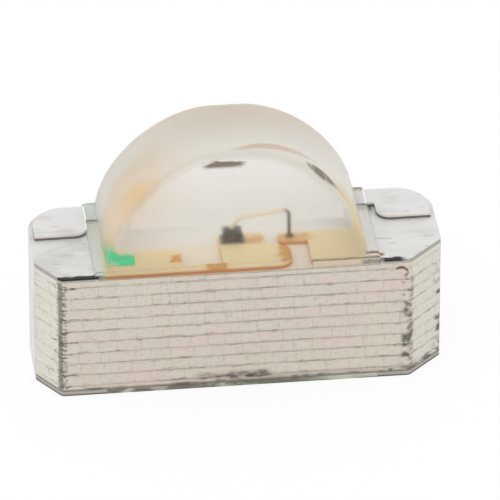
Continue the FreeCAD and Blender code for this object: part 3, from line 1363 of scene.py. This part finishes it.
@dataclass
class MouldedLens:
    """Epoxy dome with leaning faces, rounded rims and a thin foot, as one clear solid.

    Its underside reaches a little into the board, so that light inside the epoxy meets the board.

    Attributes:
        rise: Height of the dome above its base.
        crown_flat: Length of the flat crown.
        fullness: Weight of the two quarter curves, where 0.7 makes them ellipses.
        lean: How far the front and the rear lean in.
        rim_radius: Radius of the rims, and rim_steps its faces.
        foot_length: Length of the foot beyond the dome, at each end.
        foot_height: Height of the foot above the base.
        foot_rounding: Radius of its outer edges, and foot_steps its faces.
        foot_slack: How much narrower than the dome the foot is, at front and rear.
        flare: Size of the fillet where the dome meets the foot, and flare_steps its faces.
        sink: How far the lens reaches into the board.
        arc_steps: Faces along the profile.
        cut_slack: Corners closer than this to a cut lie on it.
        end_limit: Share of a normal along one axis above which a face looks along it.
        seam_level: How near the foot's top a corner of the seam lies.
        seam_reach: How near the dome's half length it lies.
        crease: Angle in degrees above which an edge stays sharp.
    """

    rise: float = 0.9
    crown_flat: float = 0.2
    fullness: float = 0.57
    lean: float = 0.1
    rim_radius: float = 0.075
    rim_steps: int = 8
    foot_length: float = 0.09
    foot_height: float = 0.04
    foot_rounding: float = 0.03
    foot_steps: int = 4
    foot_slack: float = 0.002
    flare: float = 0.05
    flare_steps: int = 5
    sink: float = 0.012
    arc_steps: int = 160
    cut_slack: float = 1e-6
    end_limit: float = 0.9
    seam_level: float = 1e-4
    seam_reach: float = 0.003
    crease: float = 30.0

    def __post_init__(self) -> None:
        """Read the lens's place from the frame."""
        low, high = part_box("lens")
        self.low, self.high = low / MM, high / MM
        self.base = self.high.z - self.rise
        self.centre = (self.low.x + self.high.x) / 2
        self.half = (self.high.x - self.low.x) / 2 - self.foot_length

    def reach(self, direction: Vector) -> float:
        """Distance from the middle to the quarter curves of a unit profile.

        Args:
            direction: Unit vector in the plane of the profile.

        Returns:
            The distance, one along X and along Z.
        """
        across, up = abs(direction.x), abs(direction.z)
        weight = 4 * self.fullness**2
        square = (across + up) ** 2 - weight * across * up
        slope = (across + up) * (2 - weight)
        return (slope + math.sqrt(slope**2 - 4 * square * (1 - weight))) / (2 * square)

    def profile(self) -> bmesh.types.BMesh:
        """Draw the flat outline of the dome: a flat crown between two quarter curves.

        Returns:
            One face, upright over the middle of its base line.
        """
        mesh = bmesh.new()
        bmesh.ops.create_circle(mesh, cap_ends=True, segments=self.arc_steps * 2, radius=1.0)
        bmesh.ops.rotate(mesh, verts=mesh.verts, matrix=Matrix.Rotation(math.pi / 2, 3, "X"))
        for vert in mesh.verts:
            vert.co *= self.reach(vert.co)
        radius = self.half - self.crown_flat / 2
        bmesh.ops.scale(mesh, verts=mesh.verts, vec=(radius, 1.0, self.rise))
        bmesh.ops.bisect_plane(
            mesh, geom=mesh.verts[:] + mesh.edges[:] + mesh.faces[:], plane_co=(0, 0, 0),
            plane_no=(0, 0, 1), clear_inner=True, dist=self.cut_slack,
        )
        for vert in mesh.verts:
            side = (vert.co.x > self.cut_slack) - (vert.co.x < -self.cut_slack)
            vert.co.x += side * self.crown_flat / 2
        return mesh

    def dome(self) -> bpy.types.Object:
        """Draw the profile out over the depth, lean its front and rear, and round its rims.

        Returns:
            The dome in millimetres.
        """
        mesh = self.profile()
        depth = self.high.y - self.low.y
        drawn = bmesh.ops.extrude_face_region(mesh, geom=mesh.faces[:])
        bmesh.ops.translate(mesh, verts=verts_of(drawn["geom"]), vec=(0, depth, 0))
        bmesh.ops.recalc_face_normals(mesh, faces=mesh.faces)
        for vert in mesh.verts:
            lean = self.lean * vert.co.z / self.rise
            vert.co.y += lean if vert.co.y < depth / 2 else -lean
        ends = [face for face in mesh.faces if abs(face.normal.y) > self.end_limit]
        # The base line stays sharp, so a rim starts a tenth of a profile face above it.
        above_base = self.rise / self.arc_steps / 10
        rims = [
            edge
            for face in ends
            for edge in face.edges
            if max(vert.co.z for vert in edge.verts) > above_base
        ]
        round_edges(mesh, rims, self.rim_radius, self.rim_steps)
        bmesh.ops.translate(mesh, verts=mesh.verts, vec=(self.centre, self.low.y, self.base))
        return as_object(mesh, "lens_dome")

    def foot(self) -> bpy.types.Object:
        """Make the thin foot and the epoxy between the traces, with a narrower plug below it.

        Returns:
            The foot in millimetres.
        """
        mesh = bmesh.new()
        bmesh.ops.create_cube(mesh, size=1.0)
        low = Vector((self.low.x, self.low.y + self.foot_slack, self.low.z))
        high = Vector((self.high.x, self.high.y - self.foot_slack, self.base + self.foot_height))
        bmesh.ops.scale(mesh, verts=mesh.verts, vec=high - low)
        bmesh.ops.translate(mesh, verts=mesh.verts, vec=(low + high) / 2)
        under = [face for face in mesh.faces if face.normal.z < -self.end_limit]
        bmesh.ops.inset_region(mesh, faces=under, thickness=self.sink / 2)
        lower = [vert for face in under for vert in face.verts]
        bmesh.ops.translate(mesh, verts=lower, vec=(0, 0, -self.sink))
        outer = [
            edge
            for edge in mesh.edges
            if min(vert.co.z for vert in edge.verts) > high.z - self.foot_slack
            and abs(edge.verts[0].co.x - edge.verts[1].co.x) < self.foot_slack
        ]
        round_edges(mesh, outer, self.foot_rounding, self.foot_steps)
        return as_object(mesh, "lens_foot")

    def joined(self) -> bmesh.types.BMesh:
        """Join the dome and its foot, and round the seam between them.

        Returns:
            The lens in millimetres.
        """
        dome, foot = self.dome(), self.foot()
        join = dome.modifiers.new("join", "BOOLEAN")
        join.operation = "UNION"
        join.solver = "EXACT"
        join.object = foot
        evaluated = dome.evaluated_get(bpy.context.evaluated_depsgraph_get())
        mesh = bmesh.new()
        mesh.from_mesh(evaluated.to_mesh())
        evaluated.to_mesh_clear()
        for spare in (dome, foot):
            bpy.data.objects.remove(spare)
        top = self.base + self.foot_height
        seam = [
            edge
            for edge in mesh.edges
            if all(abs(vert.co.z - top) < self.seam_level for vert in edge.verts)
            and all(
                abs(abs(vert.co.x - self.centre) - self.half) < self.seam_reach for vert in edge.verts
            )
            and abs(edge.verts[0].co.y - edge.verts[1].co.y) > self.rim_radius
        ]
        LOG.info("lens: %d seam edges", len(seam))
        round_edges(mesh, seam, self.flare, self.flare_steps)
        return mesh

    def build(self) -> bpy.types.Object:
        """Put the lens in the frame, smooth all over but for its creases.

        Returns:
            The lens, in metres.
        """
        mesh = self.joined()
        report_mesh(mesh, "lens")
        bmesh.ops.scale(mesh, verts=mesh.verts, vec=(MM,) * 3)
        piece = as_object(mesh, "epoxy_lens")
        piece.data.shade_smooth()
        piece.data.set_sharp_from_angle(angle=math.radians(self.crease))
        weighted = piece.modifiers.new("normals", "WEIGHTED_NORMAL")
        weighted.keep_sharp = True
        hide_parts("lens")
        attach(piece, BODY)
        dress(piece, ClearEpoxy().build())
        return piece


@dataclass
class Studio:
    """Pale floor, soft light and the photograph's camera.

    Attributes:
        floor_side: Side of the floor in metres.
        floor_colour: Colour of its matt paint.
        floor_glow: Share of plain white that it shows to rays which look straight at it.
        camera_distance: How far the camera is, in metres.
        sensor: Width of its sensor in millimetres.
        clip: Share of that distance where it starts to see, and the same number of times where it ends.
        world_level: Strength of the surroundings.
        sun_level: Strength of the lamp.
        sun_angle: Its width in degrees.
        sun_from: Direction that it shines from.
        white: Colour of the surroundings.
    """

    floor_side: float = 0.6
    floor_colour: str = "#FAFAFA"
    floor_glow: float = 0.85
    camera_distance: float = 0.06
    sensor: float = 36.0
    clip: float = 100.0
    world_level: float = 0.95
    sun_level: float = 0.45
    sun_angle: float = 35.0
    sun_from: tuple[float, float, float] = (-0.45, -0.6, 1.0)
    white: str = "#FFFFFF"

    def view_axes(self) -> tuple[Vector, Vector, Vector]:
        """Right, up and backward directions of the camera.

        Returns:
            Three unit vectors.
        """
        azimuth, elevation = math.radians(CAMERA_AZIMUTH), math.radians(CAMERA_ELEVATION)
        back = Vector(
            (
                math.sin(azimuth) * math.cos(elevation),
                -math.cos(azimuth) * math.cos(elevation),
                math.sin(elevation),
            )
        )
        right = Vector((math.cos(azimuth), math.sin(azimuth), 0))
        return right, back.cross(right), back

    def camera(self) -> None:
        """Long lens at the photograph's angle, aimed so that the board lands on its pixel."""
        right, up, back = self.view_axes()
        data = bpy.data.cameras.new("camera")
        data.sensor_width = self.sensor
        data.lens = PHOTO_SCALE / MM * self.camera_distance * self.sensor / PHOTO_SIDE
        data.clip_start = self.camera_distance / self.clip
        data.clip_end = self.camera_distance * self.clip
        offset_x, offset_y = (PHOTO_SIDE / 2 - pixel for pixel in ORIGIN_PIXEL)
        target = right * (offset_x * MM / PHOTO_SCALE) - up * (offset_y * MM / PHOTO_SCALE)
        camera = bpy.data.objects.new("camera", data)
        camera.location = target + back * self.camera_distance
        camera.rotation_mode = "QUATERNION"
        camera.rotation_quaternion = back.to_track_quat("Z", "Y")
        bpy.context.scene.collection.objects.link(camera)
        bpy.context.scene.camera = camera

    def seen_straight(self, tree: bpy.types.NodeTree) -> bpy.types.NodeSocket:
        """Find the rays that come from the camera, a reflection or clear epoxy.

        Args:
            tree: Node tree of the floor or the surroundings.

        Returns:
            One for those rays and zero for the rest.
        """
        path = add_node(tree, "ShaderNodeLightPath")
        seen = 0.0
        for sight in Sight:
            pair = {0: seen, 1: path.outputs[sight.value]}
            seen = add_node(tree, "ShaderNodeMath", pair, operation="MAXIMUM").outputs[0]
        return seen

    def floor_paint(self) -> bpy.types.Material:
        """Make the floor's material.

        Returns:
            The material.
        """
        # Rolled on thin and even, so it gives no mirror image, only the object's soft shadow
        material = bpy.data.materials.new("matt_painted_floor")
        material.use_nodes = True
        tree = material.node_tree
        tree.nodes.clear()
        matt = add_node(tree, "ShaderNodeBsdfDiffuse", {"Color": linear(self.floor_colour)})
        glow = add_node(tree, "ShaderNodeEmission", {"Color": linear(self.white), "Strength": 1.0})
        share = {0: self.seen_straight(tree), 1: self.floor_glow}
        share = add_node(tree, "ShaderNodeMath", share, operation="MULTIPLY").outputs[0]
        both = {"Fac": share, 1: matt.outputs["BSDF"], 2: glow.outputs["Emission"]}
        both = add_node(tree, "ShaderNodeMixShader", both).outputs["Shader"]
        add_node(tree, "ShaderNodeOutputMaterial", {"Surface": both})
        return material

    def floor(self) -> None:
        """Pale floor that keeps the object's soft shadow."""
        mesh = bmesh.new()
        bmesh.ops.create_grid(mesh, x_segments=1, y_segments=1, size=self.floor_side / 2)
        floor = as_object(mesh, "floor")
        dress(floor, self.floor_paint())

    def surroundings(self) -> None:
        """Even white all round, at full strength for rays that look straight at it."""
        world = bpy.data.worlds.new("surroundings")
        bpy.context.scene.world = world
        world.use_nodes = True
        tree = world.node_tree
        tree.nodes.clear()
        colour = linear(self.white)
        even = add_node(tree, "ShaderNodeBackground", {"Color": colour, "Strength": self.world_level})
        full = add_node(tree, "ShaderNodeBackground", {"Color": colour, "Strength": 1.0})
        both = {"Fac": self.seen_straight(tree), 1: even.outputs[0], 2: full.outputs[0]}
        both = add_node(tree, "ShaderNodeMixShader", both).outputs["Shader"]
        add_node(tree, "ShaderNodeOutputWorld", {"Surface": both})

    def lamp(self) -> None:
        """One broad soft lamp from the upper left."""
        data = bpy.data.lights.new("soft_lamp", "SUN")
        data.energy = self.sun_level
        data.angle = math.radians(self.sun_angle)
        lamp = bpy.data.objects.new("soft_lamp", data)
        lamp.rotation_mode = "QUATERNION"
        lamp.rotation_quaternion = Vector(self.sun_from).to_track_quat("Z", "Y")
        bpy.context.scene.collection.objects.link(lamp)

    def build(self) -> None:
        """Set up the camera, the floor and the light."""
        bpy.context.scene.view_settings.view_transform = "Standard"
        self.camera()
        self.floor()
        self.surroundings()
        self.lamp()


FINISHES = {
    "cathode_terminal": SilverPlating(),
    "anode_terminal": SilverPlating(),
    "underside_resist": SolderResist(),
    # Cured from a wet drop full of silver flakes, so it is a satin grey
    "die_attach": PlainFinish(
        name="dispensed_silver_glue", colour="#8C8880", shade="#77736B", roughness=0.5, metallic=0.4
    ),
    # Sawn from a polished wafer, so it is dark brown and fairly smooth
    "led_die": PlainFinish(
        name="sawn_semiconductor_die", colour="#5A4424", shade="#33240F", roughness=0.4
    ),
    # A thin evaporated film, so it is smooth metal, darkened by what it mirrors
    "die_electrode": PlainFinish(
        name="evaporated_gold_contact", colour="#5C4A28", shade="#4A3A20", roughness=0.3, metallic=1.0
    ),
    "bond_wire": GoldWire(),
    "cathode_mark": PrintedInk(),
}


def main() -> None:
    """Build the scene and report each piece."""
    logging.basicConfig(level=logging.INFO, format="%(message)s")
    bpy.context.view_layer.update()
    Studio().build()
    for node, finish in FINISHES.items():
        dress(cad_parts[node], finish.build())
        LOG.info("%s: %s", node, finish.name)
    for builder in (LaminateBoard(), MouldedLens()):
        piece = builder.build()
        LOG.info("%s: %d faces", piece.name, len(piece.data.polygons))


if __name__ == "__main__":
    main()
